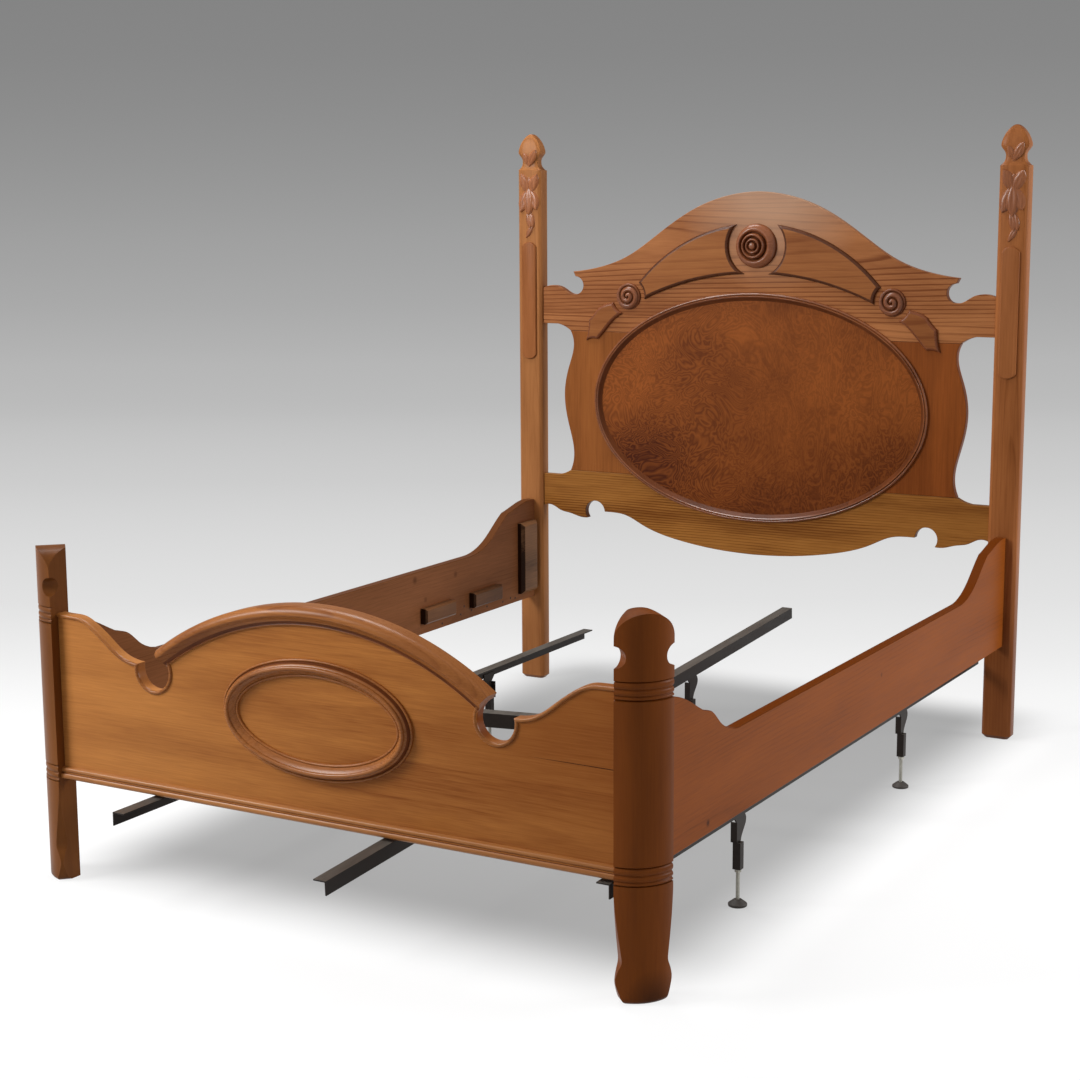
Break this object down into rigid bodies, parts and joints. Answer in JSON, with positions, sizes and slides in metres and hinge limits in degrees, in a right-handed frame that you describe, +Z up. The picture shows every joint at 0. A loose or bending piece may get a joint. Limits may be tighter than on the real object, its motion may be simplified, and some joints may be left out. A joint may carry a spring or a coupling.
{
  "type": "wooden double bed frame",
  "caption": "Victorian-style wooden double bed frame: tall posted headboard with an oval burl panel, arched footboard, scrolled side rails and a steel under-frame.",
  "frame": {"origin": "on the floor under the middle of the bounding box", "axes": "+Z up, +Y from the footboard to the headboard, +X to the right seen from the foot"},
  "size_m": [1.472, 2.254, 1.57],
  "materials": {
    "varnished_wood": "satin varnish over open grain",
    "dark_turned_wood": "satin varnish, dark stain",
    "burl_veneer": "polished burl veneer",
    "plain_softwood": "planed, unvarnished",
    "dark_steel": "brown-black paint, worn",
    "zinc_steel": "dull zinc plate",
    "dark_plastic": "matte"
  },
  "bodies": {
    "bed": {"arch_cap": "varnished_wood", "bar_rivets": "dark_steel", "base_moulding": "varnished_wood", "burl_panel": "burl_veneer", "centre_spacer": "dark_steel", "crest_rail": "varnished_wood", "cross_bar": "dark_steel", "foot_oval_moulding": "varnished_wood", "foot_panel": "varnished_wood", "foot_post_left": "dark_turned_wood", "foot_post_right": "dark_turned_wood", "head_lower_rail": "varnished_wood", "head_oval_moulding": "varnished_wood", "head_post_left": "varnished_wood", "head_post_right": "varnished_wood", "head_stile_left": "varnished_wood", "head_stile_right": "varnished_wood", "hook_cleat_left": "plain_softwood", "hook_cleat_right": "plain_softwood", "husk_drop_left": "varnished_wood", "husk_drop_right": "varnished_wood", "iron_centre": "dark_steel", "iron_right": "dark_steel", "leg_brackets_centre": "dark_steel", "leg_brackets_right": "dark_steel", "leg_sleeves_centre": "dark_steel", "leg_sleeves_right": "dark_steel", "lock_nuts_centre": "zinc_steel", "lock_nuts_right": "zinc_steel", "pilaster_strip_left": "varnished_wood", "pilaster_strip_right": "varnished_wood", "rail_hooks_left": "zinc_steel", "rail_hooks_right": "zinc_steel", "rosette_centre": "varnished_wood", "rosette_left": "varnished_wood", "rosette_right": "varnished_wood", "side_rail_left": "varnished_wood", "side_rail_right": "varnished_wood", "slat_blocks_left": "plain_softwood", "slat_blocks_right": "plain_softwood", "tail_left": "burl_veneer", "tail_right": "burl_veneer", "wing_left": "burl_veneer", "wing_right": "burl_veneer"},
    "left_iron": {"iron_left": "dark_steel", "leg_brackets_left": "dark_steel", "leg_sleeves_left": "dark_steel", "lock_nuts_left": "zinc_steel"},
    "leg_left_rear": {"stem_left_rear": "zinc_steel", "glide_left_rear": "dark_plastic"},
    "leg_left_front": {"stem_left_front": "zinc_steel", "glide_left_front": "dark_plastic"},
    "leg_centre_rear": {"stem_centre_rear": "zinc_steel", "glide_centre_rear": "dark_plastic"},
    "leg_centre_front": {"stem_centre_front": "zinc_steel", "glide_centre_front": "dark_plastic"},
    "leg_right_rear": {"stem_right_rear": "zinc_steel", "glide_right_rear": "dark_plastic"},
    "leg_right_front": {"stem_right_front": "zinc_steel", "glide_right_front": "dark_plastic"}
  },
  "joints": [
    {"name": "left_iron_fold", "type": "hinge", "parent": "bed", "child": "left_iron", "pos_m": [-0.401, -0.04, 0.212], "axis": [0, 0, 1], "range_deg": [-8, 8]},
    {"name": "left_rear_level", "type": "slide", "parent": "left_iron", "child": "leg_left_rear", "axis": [0, 0, 1], "range_m": [0, 0.038]},
    {"name": "left_front_level", "type": "slide", "parent": "left_iron", "child": "leg_left_front", "axis": [0, 0, 1], "range_m": [0, 0.038]},
    {"name": "centre_rear_level", "type": "slide", "parent": "bed", "child": "leg_centre_rear", "axis": [0, 0, 1], "range_m": [0, 0.038]},
    {"name": "centre_front_level", "type": "slide", "parent": "bed", "child": "leg_centre_front", "axis": [0, 0, 1], "range_m": [0, 0.038]},
    {"name": "right_rear_level", "type": "slide", "parent": "bed", "child": "leg_right_rear", "axis": [0, 0, 1], "range_m": [0, 0.038]},
    {"name": "right_front_level", "type": "slide", "parent": "bed", "child": "leg_right_front", "axis": [0, 0, 1], "range_m": [0, 0.038]}
  ]
}
